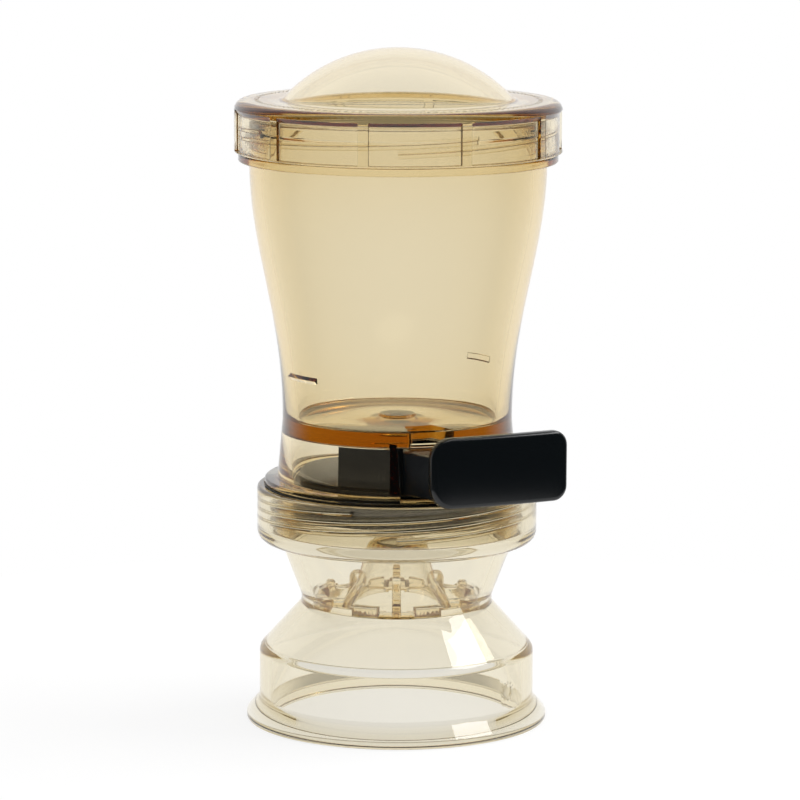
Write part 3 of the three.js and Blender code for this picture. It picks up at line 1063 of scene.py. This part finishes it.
@dataclass
class HopperPart:
    """Hopper: amber jar with its floor, lever housing, flange, foot and neck."""

    narrow_radius: float = 38.8
    wall: float = 4.0
    swell_bias: float = 1.08
    swell_rings: int = 36
    stop_width: float = 3.7
    floor_ring: float = 6.5
    floor_ring_height: float = 0.7
    mark_level: float = 16.4
    mark_length: float = 15.0
    mark_height: float = 2.4
    mark_depth: float = 1.1
    mark_sink: float = 1.5
    back_mark_depth: float = 0.35
    mark_azimuth: float = -53.0
    neck_flank: float = 0.08
    foot_chamfer: float = 1.2
    groove_height: float = 8.1
    groove_depth: float = 0.55
    end_wall: float = 0.9
    snap_depth: float = 0.8
    snap_height: float = 0.8
    inlet_margin: float = 1.5
    slot_slant: float = 5.5
    slot_lead: float = 1.5
    slot_play: float = 1.0
    gap_lead: float = 7.5

    def swell(self, share: float) -> float:
        """Gives the jar's outer radius at a share of its height.

        Args:
            share: The share of the height, from 0 at the floor to 1 at the neck.

        Returns:
            The radius in millimetres.
        """
        bulge = (1 - math.cos(math.pi * share ** self.swell_bias)) / 2
        return self.narrow_radius + (LEVELS.shoulder_radius - self.narrow_radius) * bulge

    def outline(self) -> list[tuple[float, float]]:
        """Gives the jar's outline, from the post's end round to the floor's middle.

        Returns:
            The outline's radii and heights, in millimetres.
        """
        lv = LEVELS
        shares = [i / self.swell_rings for i in range(self.swell_rings + 1)]
        outer = [Corner(self.swell(s), lv.floor_top + s * lv.hopper_height) for s in shares]
        walls = [self.wall + self.end_wall * abs(2 * s - 1) ** 3 for s in shares]
        inner = [Corner(c.r - wall, c.z) for c, wall in zip(reversed(outer), reversed(walls))]
        groove = lv.stop_top + self.groove_height
        floor_edge = inner.pop()
        foot_bottom = lv.flange_bottom - lv.foot_depth
        snap_top = lv.plate_top - lv.plate_skirt - lv.rest_gap
        stop_radius = lv.shoulder_radius + self.stop_width
        neck_inner = lv.shoulder_radius - self.wall
        ring_top = lv.floor_top + self.floor_ring_height
        corners = [
            Corner(0, lv.rotor_bottom),
            Corner(lv.post_radius, lv.rotor_bottom, 0.4),
            Corner(lv.post_radius, lv.floor_bottom, 0.8),
            Corner(lv.chamber_radius, lv.floor_bottom, 0.8),
            Corner(lv.chamber_radius, snap_top, 0.2),
            Corner(lv.chamber_radius - self.snap_depth, snap_top - self.snap_height / 2, 0.2),
            Corner(lv.chamber_radius, snap_top - self.snap_height, 0.2),
            Corner(lv.chamber_radius, foot_bottom, 0.8),
            Corner(lv.foot_radius - self.foot_chamfer, foot_bottom, 0.5),
            Corner(lv.foot_radius, foot_bottom + self.foot_chamfer, 0.5),
            Corner(lv.foot_radius, lv.flange_bottom, 0.2),
            Corner(lv.flange_radius, lv.flange_bottom, 0.5),
            Corner(lv.flange_radius, lv.flange_bottom + lv.flange, 0.7),
            Corner(lv.housing_radius, lv.flange_bottom + lv.flange, 0.8),
            *outer,
            Corner(stop_radius, lv.stop_bottom, 0.5),
            Corner(stop_radius, lv.stop_top, 0.7),
            Corner(lv.shoulder_radius, lv.stop_top, 0.4),
            Corner(lv.shoulder_radius, groove - self.groove_depth),
            Corner(lv.shoulder_radius - self.groove_depth, groove, 0.1),
            Corner(lv.shoulder_radius, groove + self.groove_depth),
            Corner(lv.shoulder_radius, lv.rim_top, 0.9),
            Corner(neck_inner, lv.rim_top, 0.9),
            *inner,
            Corner(floor_edge.r, floor_edge.z, 2.2),
            Corner(self.floor_ring, lv.floor_top, 0.3),
            Corner(self.floor_ring - 0.6, ring_top, 0.4),
            Corner(0, ring_top),
        ]
        return rounded(corners, False)

    def cutters(self) -> list[bmesh.types.BMesh]:
        """Makes the solids that cut the inlet, the lever's slot and the flange.

        Returns:
            The cutting solids.
        """
        lv = LEVELS
        reach = math.degrees(lv.dose_radius / lv.dose_orbit) + self.inlet_margin
        inner = lv.dose_orbit - lv.dose_radius
        outer = lv.dose_orbit + lv.dose_radius + self.inlet_margin
        start = lv.dose_azimuth - reach
        end = lv.dose_azimuth + reach
        inlet = sector(inner, outer, lv.floor_bottom - 1, lv.floor_top + 1, start, end)
        upright = [e for e in inlet.edges if abs(e.verts[0].co.z - e.verts[1].co.z) > 1]
        corners = [e for e in upright if e.calc_face_angle(0) > math.radians(60)]
        bmesh.ops.bevel(
            inlet, geom=corners, offset=2.0, affect="EDGES", segments=4, profile=0.5, material=-1
        )
        slot_start = lv.arm_start - self.slot_lead
        slot_end = lv.arm_end + lv.lever_travel + self.slot_play
        slot_outer = lv.flange_radius + 2
        slot_low = lv.flange_bottom + 1.2 * lv.rest_gap
        flange_top = lv.flange_bottom + lv.flange
        slot_top = lv.sector_top + 2
        slot_inner = lv.chamber_radius - lv.rest_gap
        slot = sector(slot_inner, slot_outer, slot_low, slot_top, slot_start, slot_end)
        gap = sector(
            lv.foot_radius - lv.rest_gap,
            slot_outer,
            lv.flange_bottom - 0.1,
            flange_top,
            slot_start + self.gap_lead,
            slot_end,
        )
        slant = [
            around(slot_inner, slot_start - self.slot_slant, flange_top),
            around(lv.housing_radius, slot_start, flange_top),
            around(lv.housing_radius, slot_start + self.slot_slant, flange_top),
            around(slot_inner, slot_start + self.slot_slant, flange_top),
        ]
        bevel = extruded(slant, Vector((0, 0, slot_top - flange_top)))
        return [inlet, slot, bevel, gap]

    def marks(self) -> list[bmesh.types.BMesh]:
        """Makes the two raised level marks.

        Returns:
            The marks' solids.
        """
        lv = LEVELS
        radius = self.swell(self.mark_level / lv.hopper_height)
        reach = math.degrees(self.mark_length / radius) / 2
        low = lv.floor_top + self.mark_level - self.mark_height / 2
        high = low + self.mark_height
        bars = []
        for turn, depth in ((0.0, self.mark_depth), (180.0, self.back_mark_depth)):
            middle = self.mark_azimuth + turn
            start = middle - reach
            crest = radius + depth
            outline = [(radius - self.mark_sink, low), (radius, low), (crest, low + depth)]
            outline += [(crest, high - depth), (radius, high), (radius - self.mark_sink, high)]
            bars.append(spun(outline, True, start, 2 * reach))
        return bars

    def build(self, finishes: Finishes) -> bpy.types.Object:
        """Builds the hopper.

        Args:
            finishes: The dispenser's finishes.

        Returns:
            The finished piece.
        """
        lv = LEVELS
        piece = loose_object(spun(self.outline(), False), "hopper_moulding")
        foot_low = lv.flange_bottom - lv.foot_depth + lv.thread_pitch
        neck_low = lv.stop_top + lv.thread_pitch
        combine(piece, self.marks(), Join.ADD)
        combine(piece, thread(lv.foot_radius, lv.foot_crest, foot_low, lv.foot_thread_span), Join.ADD)
        neck = thread(lv.shoulder_radius, lv.neck_crest, neck_low, lv.neck_thread_span, self.neck_flank)
        combine(piece, neck, Join.ADD)
        combine(piece, self.cutters(), Join.CUT)
        return finish_piece(piece, finishes.amber.material(), "hopper", ["hopper"])


@dataclass
class BottomPlatePart:
    """Bottom plate with its outlet, under the lever."""

    thickness: float = 2.5
    skirt_wall: float = 2.0

    def build(self, finishes: Finishes) -> bpy.types.Object:
        """Builds the plate.

        Args:
            finishes: The dispenser's finishes.

        Returns:
            The finished piece.
        """
        lv = LEVELS
        radius = lv.chamber_radius - lv.rest_gap
        low = lv.plate_top - self.thickness
        skirt_low = lv.plate_top - lv.plate_skirt
        corners = [
            Corner(0, low),
            Corner(radius - self.skirt_wall, low, 0.8),
            Corner(radius - self.skirt_wall, skirt_low, 0.4),
            Corner(radius, skirt_low, 0.6),
            Corner(radius, lv.plate_top, 0.4),
            Corner(0, lv.plate_top),
        ]
        piece = loose_object(spun(rounded(corners, False), False), "outlet_plate")
        centre = around(lv.dose_orbit, lv.outlet_azimuth)
        combine(piece, [post(lv.dose_radius, centre, low - 1, lv.plate_top + 1)], Join.CUT)
        return finish_piece(piece, finishes.black.material(), "hopper", ["bottom_plate"])


@dataclass
class LeverPart:
    """Lever: rotor disc, dose block, hub, arm and bowed paddle in one black moulding."""

    rotor_radius: float = 33.8
    sector_start: float = -34.0
    sector_end: float = 42.0
    hub_radius: float = 10.5
    arm_inset: float = 0.2
    arm_lift: float = 2.9
    arm_root: float = 8.0
    arm_edge: float = 0.7
    tip_start: float = 0.03
    tip_end: float = 0.4
    paddle_length: float = 49.7
    paddle_yaw: float = 25.3
    paddle_thickness: float = 4.7
    paddle_height: float = 23.6
    paddle_bulge: float = 0.9
    left_corner: float = 7.2
    right_corner: float = 5.0
    paddle_gap: float = 14.9
    paddle_shift: float = 12.7
    edge: float = 1.5
    spring_radius: float = 6.6
    spring_wire: float = 1.2
    spring_turns: int = 3
    spring_pitch: float = 1.9
    pocket_wall: float = 1.4
    paddle_slices: int = 14
    wire_sides: int = 12
    turn_steps: int = 48

    def spring_low(self) -> float:
        """Gives the height of the spring's underside.

        Returns:
            The height in millimetres.
        """
        return LEVELS.sector_top - (self.spring_turns * self.spring_pitch + 2 * self.spring_wire)

    def paddle_place(self) -> Matrix:
        """Gives the turn and place of the paddle: X along it, Y inwards.

        Returns:
            The paddle's matrix.
        """
        turn = Matrix.Rotation(math.radians(self.paddle_yaw), 4, "Z")
        distance = LEVELS.housing_radius + self.paddle_gap
        return turn @ Matrix.Translation((-self.paddle_shift, -distance, 0))

    def paddle(self) -> bmesh.types.BMesh:
        """Makes the bowed plate with rounded corners and edges.

        Returns:
            The paddle's solid.
        """
        low = LEVELS.rotor_top - self.arm_lift
        high = low + self.paddle_height
        length = self.paddle_length
        corners = [
            Corner(0, low, self.left_corner),
            Corner(length, low, self.right_corner),
            Corner(length, high, self.right_corner),
            Corner(0, high, self.left_corner),
        ]
        outline = [Vector((x, 0, z)) for x, z in rounded(corners, True, 8)]
        mesh = extruded(outline, Vector((0, self.paddle_thickness, 0)))
        bevelled(mesh, self.edge, 4, 60.0)
        for i in range(1, self.paddle_slices):
            geometry = [*mesh.verts, *mesh.edges, *mesh.faces]
            cut = (length * i / self.paddle_slices, 0, 0)
            bmesh.ops.bisect_plane(mesh, geom=geometry, plane_co=cut, plane_no=(1, 0, 0))
        for vert in mesh.verts:
            share = min(max(vert.co.x / length, 0.0), 1.0)
            vert.co.y += self.paddle_bulge * (2 * share - 1) ** 2
        bmesh.ops.transform(mesh, matrix=self.paddle_place(), verts=mesh.verts)
        return mesh

    def arm(self) -> bmesh.types.BMesh:
        """Makes the arm from the rotor to the paddle's back.

        Returns:
            The arm's solid.
        """
        lv = LEVELS
        low = lv.rotor_top - self.arm_inset
        high = lv.sector_top - self.arm_inset
        place = self.paddle_place()
        middle = self.paddle_thickness / 2
        root = self.rotor_radius - self.arm_root
        plan = [
            around(root, lv.arm_start),
            around(lv.housing_radius - 1, lv.arm_start),
            place @ Vector((self.tip_start * self.paddle_length, middle + self.paddle_bulge, 0)),
            place @ Vector((self.tip_end * self.paddle_length, middle, 0)),
            around(lv.housing_radius + 1.5, lv.arm_end),
            around(root, lv.arm_end),
        ]
        outline = [Vector((point.x, point.y, low)) for point in plan]
        mesh = extruded(outline, Vector((0, 0, high - low)))
        return bevelled(mesh, self.arm_edge, 3, 50.0)

    def build(self, finishes: Finishes) -> bpy.types.Object:
        """Builds the lever.

        Args:
            finishes: The dispenser's finishes.

        Returns:
            The finished piece.
        """
        lv = LEVELS
        disc = [
            Corner(0, lv.rotor_bottom),
            Corner(self.rotor_radius, lv.rotor_bottom, 0.5),
            Corner(self.rotor_radius, lv.rotor_top, 0.5),
            Corner(0, lv.rotor_top),
        ]
        hub = [
            Corner(0, lv.rotor_top - 1),
            Corner(self.hub_radius, lv.rotor_top - 1),
            Corner(self.hub_radius, lv.sector_top, 0.5),
            Corner(0, lv.sector_top),
        ]
        piece = loose_object(spun(rounded(disc, False), False), "lever_moulding")
        block = sector(
            self.hub_radius - 2,
            self.rotor_radius,
            lv.rotor_top - 1,
            lv.sector_top,
            self.sector_start,
            self.sector_end,
            0.5,
        )
        combine(piece, [spun(rounded(hub, False), False), block, self.arm(), self.paddle()], Join.ADD)
        centre = Vector((0, 0, 0))
        pocket_radius = self.hub_radius - self.pocket_wall
        pocket = post(pocket_radius, centre, self.spring_low() - lv.rest_gap, lv.sector_top + 1, 64)
        bore = post(lv.post_radius + lv.rest_gap, centre, lv.rotor_bottom - 1, lv.sector_top + 1)
        dose_place = around(lv.dose_orbit, lv.dose_azimuth)
        dose = post(lv.dose_radius, dose_place, lv.rotor_bottom - 1, lv.sector_top + 1)
        combine(piece, [pocket, bore, dose], Join.CUT)
        return finish_piece(piece, finishes.black.material(), "lever", ["lever"])

    def build_spring(self, finishes: Finishes) -> bpy.types.Object:
        """Builds the return spring in the hub.

        Args:
            finishes: The dispenser's finishes.

        Returns:
            The finished piece.
        """
        low = self.spring_low()
        wire = self.spring_wire / 2
        section = []
        for i in range(self.wire_sides):
            angle = 2 * math.pi * i / self.wire_sides
            radius = self.spring_radius + wire * math.cos(angle)
            section.append((radius, low + wire + wire * math.sin(angle)))
        rise = self.spring_turns * self.spring_pitch
        mesh = bmesh.new()
        verts = [mesh.verts.new(around(radius, 0, height)) for radius, height in section]
        edges = [mesh.edges.new(pair) for pair in zip(verts, verts[1:] + verts[:1])]
        steps = self.spring_turns * self.turn_steps
        bmesh.ops.spin(
            mesh,
            geom=[*verts, *edges],
            cent=(0, 0, 0),
            axis=(0, 0, 1),
            dvec=(0, 0, rise / steps),
            angle=2 * math.pi * self.spring_turns,
            steps=steps,
            use_merge=False,
        )
        bmesh.ops.holes_fill(mesh, edges=[e for e in mesh.edges if e.is_boundary], sides=0)
        bmesh.ops.recalc_face_normals(mesh, faces=mesh.faces)
        piece = loose_object(mesh, "lever_return_spring")
        steel = finishes.wire.material()
        return finish_piece(piece, steel, "lever", ["lever_spring"], 60.0)


@dataclass
class LidPart:
    """Lid: threaded skirt with grip ribs, flat shoulder and shallow dome."""

    corner: float = 3.4
    dome_radius: float = 53.0
    dome_height: float = 17.3
    dome_wall: float = 2.2
    plate_wall: float = 2.3
    plate_step: float = 5.5
    dome_fillet: float = 2.5
    rib_count: int = 10
    rib_width: float = 3.45
    rib_azimuth: float = 24.0
    panel_depth: float = 1.1
    panel_foot: float = 0.6
    panel_head: float = 4.4
    panel_slope: float = 1.6
    panel_round: float = 0.9
    thread_flank: float = 0.08
    tick_radius: float = 47.6
    tick_length: float = 1.5
    tick_count: int = 120
    tick_width: float = 0.5
    tick_proud: float = 0.16
    tick_sink: float = 0.4
    dome_rings: int = 18

    def outline(self) -> list[tuple[float, float]]:
        """Gives the lid's outline, from the dome's underside round to its top.

        Returns:
            The outline's radii and heights, in millimetres.
        """
        lv = LEVELS
        centre = lv.lid_top + self.dome_height - self.dome_radius
        inner = self.dome_radius - self.dome_wall
        outer_base = math.asin((lv.lid_top - centre) / self.dome_radius)
        ceiling = lv.lid_top - self.plate_wall
        step = lv.shoulder_radius - self.plate_step
        inner_base = math.asin((ceiling - centre) / inner)
        rings = self.dome_rings
        under = []
        over = []
        for i in range(rings + 1):
            share = i / rings
            low = math.pi / 2 + (inner_base - math.pi / 2) * share
            high = outer_base + (math.pi / 2 - outer_base) * share
            under.append(Corner(inner * math.cos(low), centre + inner * math.sin(low)))
            radius = self.dome_radius * math.cos(high)
            over.append(Corner(radius, centre + self.dome_radius * math.sin(high)))
        under[0] = Corner(0, under[0].z)
        over[-1] = Corner(0, over[-1].z)
        under[-1] = Corner(under[-1].r, under[-1].z, 1.0)
        over[0] = Corner(over[0].r, over[0].z, self.dome_fillet)
        corners = [
            *under,
            Corner(step, ceiling, 1.0),
            Corner(step + 0.4, lv.lid_underside, 0.5),
            Corner(lv.lid_bore, lv.lid_underside, 0.8),
            Corner(lv.lid_bore, lv.lid_bottom, 0.5),
            Corner(lv.lid_radius, lv.lid_bottom, 0.7),
            Corner(lv.lid_radius, lv.lid_top, self.corner),
            *over,
        ]
        return rounded(corners, False, 8)

    def panels(self) -> list[bmesh.types.BMesh]:
        """Makes the shallow blocks that leave the grip ribs standing.

        Returns:
            The cutting blocks, one for each panel.
        """
        lv = LEVELS
        reach = math.degrees(self.rib_width / lv.lid_radius) / 2
        spacing = 360.0 / self.rib_count
        low = lv.lid_bottom + self.panel_foot
        high = lv.lid_top - self.panel_head
        back = lv.lid_radius - self.panel_depth
        front = lv.lid_radius + 1
        lift = self.panel_slope * (front - back) / self.panel_depth
        corners = [Corner(back, low, 0.3), Corner(front, low)]
        corners += [Corner(front, high + lift), Corner(back, high, 0.6)]
        outline = rounded(corners, True, 4)
        blocks = []
        for i in range(self.rib_count):
            start = self.rib_azimuth + i * spacing + reach
            end = self.rib_azimuth + (i + 1) * spacing - reach
            block = spun(outline, True, start, end - start)
            blocks.append(bevelled(block, self.panel_round, 3, 60.0))
        return blocks

    def ticks(self) -> list[bmesh.types.BMesh]:
        """Makes one solid of fine plain ticks, round the lid's shoulder.

        Returns:
            The ticks' solid in a list.
        """
        lv = LEVELS
        proud = self.tick_proud
        sink = self.tick_sink
        mesh = bmesh.new()
        for i in range(self.tick_count):
            azimuth = 360.0 * i / self.tick_count
            seat = around(self.tick_radius, azimuth, lv.lid_top + (proud - sink) / 2)
            place = Matrix.Translation(seat) @ Matrix.Rotation(math.radians(azimuth), 4, "Z")
            size = Matrix.Diagonal((self.tick_width, self.tick_length, proud + sink, 1))
            bmesh.ops.create_cube(mesh, size=1.0, matrix=place @ size)
        return [mesh]

    def build(self, finishes: Finishes) -> bpy.types.Object:
        """Builds the lid.

        Args:
            finishes: The dispenser's finishes.

        Returns:
            The finished piece.
        """
        lv = LEVELS
        piece = loose_object(spun(self.outline(), False), "lid_moulding")
        low = lv.stop_top + 1.5 * lv.thread_pitch
        crest = lv.lid_bore - lv.neck_thread_depth
        ridges = thread(lv.lid_bore, crest, low, lv.neck_thread_span, self.thread_flank)
        combine(piece, ridges, Join.ADD)
        combine(piece, self.panels(), Join.CUT)
        combine(piece, self.ticks(), Join.ADD)
        return finish_piece(piece, finishes.amber.material(), "lid", ["lid"])


@dataclass
class Softbox:
    """One large soft lamp that faces a point of the dispenser."""

    name: str
    azimuth: float
    elevation: float
    distance: float
    width: float
    height: float
    watts: float

    def build(self, target: Vector) -> bpy.types.Object:
        """Builds the lamp.

        Args:
            target: The point that it faces.

        Returns:
            The lamp's object.
        """
        data = bpy.data.lights.new(self.name, "AREA")
        data.shape = "RECTANGLE"
        data.size = self.width
        data.size_y = self.height
        data.energy = self.watts
        lamp = bpy.data.objects.new(self.name, data)
        rise = math.radians(self.elevation)
        flat = around(self.distance * math.cos(rise), self.azimuth, self.distance * math.sin(rise))
        lamp.location = target + flat
        lamp.rotation_euler = (-flat).to_track_quat("-Z", "Y").to_euler()
        bpy.context.scene.collection.objects.link(lamp)
        return lamp


class Card(Enum):
    """What a card before a lamp does to one piece: keeps the light off it, or off all others."""

    OFF_PIECE = "EXCLUDE"
    OFF_OTHERS = "INCLUDE"


def place_card(lamp: bpy.types.Object, piece: bpy.types.Object, card: Card) -> None:
    """Shades a lamp with a card.

    Args:
        lamp: The lamp.
        piece: The piece that the card is cut for.
        card: What the card does.
    """
    shaded = bpy.data.collections.new(f"{lamp.name}_card")
    shaded.objects.link(piece)
    for member in shaded.collection_objects:
        member.light_linking.link_state = card.value
    lamp.light_linking.receiver_collection = shaded


@dataclass
class Studio:
    """Camera, white surround, floor and lamps."""

    camera_distance: float = 1.450
    camera_height: float = 0.345
    camera_side: float = 0.0009
    camera_pitch: float = 9.24
    camera_roll: float = 0.23
    focal_px: float = 4345.0
    picture_px: float = 800.0
    sensor_mm: float = 36.0
    floor_radius: float = 0.28
    light_bounces: int = 32
    lamp_target: float = 0.12
    floor_albedo: float = 0.8
    floor_shade: float = 0.25
    floor_glow: float = 0.8
    front_level: float = 0.03
    through_level: float = 0.3
    dark_turn: float = 0.05
    light_turn: float = 0.8
    soft_level: float = 0.7
    softboxes: list[Softbox] = field(
        default_factory=lambda: [
            Softbox("key_softbox", 98.0, 47.0, 1.1, 0.9, 0.36, 5.5),
            Softbox("edge_softbox", 60.0, 76.0, 1.1, 0.6, 0.4, 2.2),
        ]
    )

    def build_camera(self) -> bpy.types.Object:
        """Builds the camera at the photograph's viewing angle.

        Returns:
            The camera's object.
        """
        data = bpy.data.cameras.new("camera")
        data.sensor_width = self.sensor_mm
        data.lens = self.focal_px * self.sensor_mm / self.picture_px
        data.clip_end = 20.0
        camera = bpy.data.objects.new("camera", data)
        camera.location = (self.camera_side, -self.camera_distance, self.camera_height)
        look = Euler((math.radians(90 - self.camera_pitch), 0, 0), "XYZ").to_matrix()
        roll = Matrix.Rotation(math.radians(self.camera_roll), 3, "Z")
        camera.rotation_euler = (look @ roll).to_euler()
        bpy.context.scene.collection.objects.link(camera)
        bpy.context.scene.camera = camera
        return camera

    def build_world(self) -> None:
        """Builds the surround: white when seen directly, darker towards the front when reflected.

        Light that comes through the plastic is dimmed there too, but only to the through level.
        """
        world = bpy.data.worlds.new("surround")
        world.use_nodes = True
        tree = world.node_tree
        tree.nodes.clear()
        place = node(tree, "ShaderNodeTexCoord")
        axes = node(tree, "ShaderNodeSeparateXYZ", None, {"Vector": place.outputs["Generated"]})
        shade = node(
            tree,
            "ShaderNodeMapRange",
            {
                "interpolation_type": "SMOOTHSTEP",
                "From Min": self.dark_turn,
                "From Max": self.light_turn,
                "To Min": self.front_level,
                "To Max": 1.0,
            },
            {"Value": axes.outputs["Y"]},
        )
        path = node(tree, "ShaderNodeLightPath")
        seen = node(tree, "ShaderNodeBackground", {"Color": WHITE, "Strength": 1.0})
        through = node(
            tree,
            "ShaderNodeMath",
            {"operation": "MULTIPLY", 1: self.through_level},
            {0: path.outputs["Is Transmission Ray"]},
        )
        level = node(
            tree,
            "ShaderNodeMath",
            {"operation": "MAXIMUM"},
            {0: shade.outputs["Result"], 1: through.outputs[0]},
        )
        bent = node(tree, "ShaderNodeBackground", {"Color": WHITE}, {"Strength": level.outputs[0]})
        soft = node(tree, "ShaderNodeBackground", {"Color": WHITE, "Strength": self.soft_level})
        bends = node(
            tree,
            "ShaderNodeMath",
            {"operation": "MAXIMUM"},
            {0: path.outputs["Is Glossy Ray"], 1: path.outputs["Is Transmission Ray"]},
        )
        first = node(
            tree,
            "ShaderNodeMixShader",
            None,
            {0: bends.outputs[0], 1: soft.outputs[0], 2: bent.outputs[0]},
        )
        second = node(
            tree,
            "ShaderNodeMixShader",
            None,
            {0: path.outputs["Is Camera Ray"], 1: first.outputs[0], 2: seen.outputs[0]},
        )
        node(tree, "ShaderNodeOutputWorld", None, {"Surface": second.outputs[0]})
        bpy.context.scene.world = world

    def build_floor(self) -> bpy.types.Object:
        """Builds the white floor, which keeps a faint shadow.

        Returns:
            The floor's object.
        """
        mesh = bmesh.new()
        bmesh.ops.create_circle(mesh, cap_ends=True, segments=128, radius=self.floor_radius / MM)
        floor = loose_object(mesh, "floor")
        floor.data.transform(Matrix.Scale(MM, 4))
        material, tree = empty_material("paper_white_matt")
        matt = node(tree, "ShaderNodeBsdfDiffuse", {"Color": (self.floor_albedo,) * 3 + (1.0,)})
        shade = node(tree, "ShaderNodeBsdfDiffuse", {"Color": (self.floor_shade,) * 3 + (1.0,)})
        glow = node(tree, "ShaderNodeEmission", {"Color": WHITE, "Strength": self.floor_glow})
        path = node(tree, "ShaderNodeLightPath")
        first = node(
            tree,
            "ShaderNodeMath",
            {"operation": "MAXIMUM"},
            {0: path.outputs["Is Glossy Ray"], 1: path.outputs["Is Transmission Ray"]},
        )
        second = node(
            tree,
            "ShaderNodeMath",
            {"operation": "MAXIMUM"},
            {0: path.outputs["Is Camera Ray"], 1: first.outputs[0]},
        )
        both = node(tree, "ShaderNodeAddShader", None, {0: shade.outputs[0], 1: glow.outputs[0]})
        mix = node(
            tree,
            "ShaderNodeMixShader",
            None,
            {0: second.outputs[0], 1: matt.outputs[0], 2: both.outputs[0]},
        )
        node(tree, "ShaderNodeOutputMaterial", None, {"Surface": mix.outputs[0]})
        floor.data.materials.append(material)
        return floor

    def build(self) -> list[bpy.types.Object]:
        """Builds the whole studio.

        Returns:
            The lamps.
        """
        self.build_camera()
        self.build_world()
        self.build_floor()
        target = Vector((0, 0, self.lamp_target))
        lamps = [softbox.build(target) for softbox in self.softboxes]
        scene = bpy.context.scene
        scene.view_settings.view_transform = "Standard"
        scene.cycles.max_bounces = self.light_bounces
        scene.cycles.transmission_bounces = self.light_bounces
        scene.cycles.glossy_bounces = self.light_bounces
        return lamps


def main() -> None:
    """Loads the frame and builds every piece."""
    logging.basicConfig(level=logging.INFO, format="%(name)s: %(message)s")
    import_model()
    lv = LEVELS
    finishes = Finishes()
    key_lamp, edge_lamp = Studio().build()
    BasePart().build(finishes)
    SpreaderPart().build(finishes)
    gasket = SealPart(
        "collar_seal_ring",
        "joint_seal",
        "collar_gasket",
        "seal_rubber",
        lv.foot_radius + lv.rest_gap,
        lv.flange_radius,
        lv.gasket_bottom,
        lv.gasket_bottom + lv.gasket,
    )
    gasket.build(finishes.rubber)
    HopperPart().build(finishes)
    BottomPlatePart().build(finishes)
    lever = LeverPart()
    place_card(edge_lamp, lever.build(finishes), Card.OFF_OTHERS)
    lever.build_spring(finishes)
    lid_seal = SealPart(
        "lid_seal_ring",
        "lid_seal",
        "lid_seal",
        "lid_rubber",
        lv.shoulder_radius - lv.lid_seal_width,
        lv.shoulder_radius,
        lv.rim_top + lv.rest_gap,
        lv.rim_top + lv.rest_gap + lv.lid_seal,
    )
    lid_seal.build(finishes.silicone)
    place_card(key_lamp, LidPart().build(finishes), Card.OFF_PIECE)


if __name__ == "__main__":
    main()
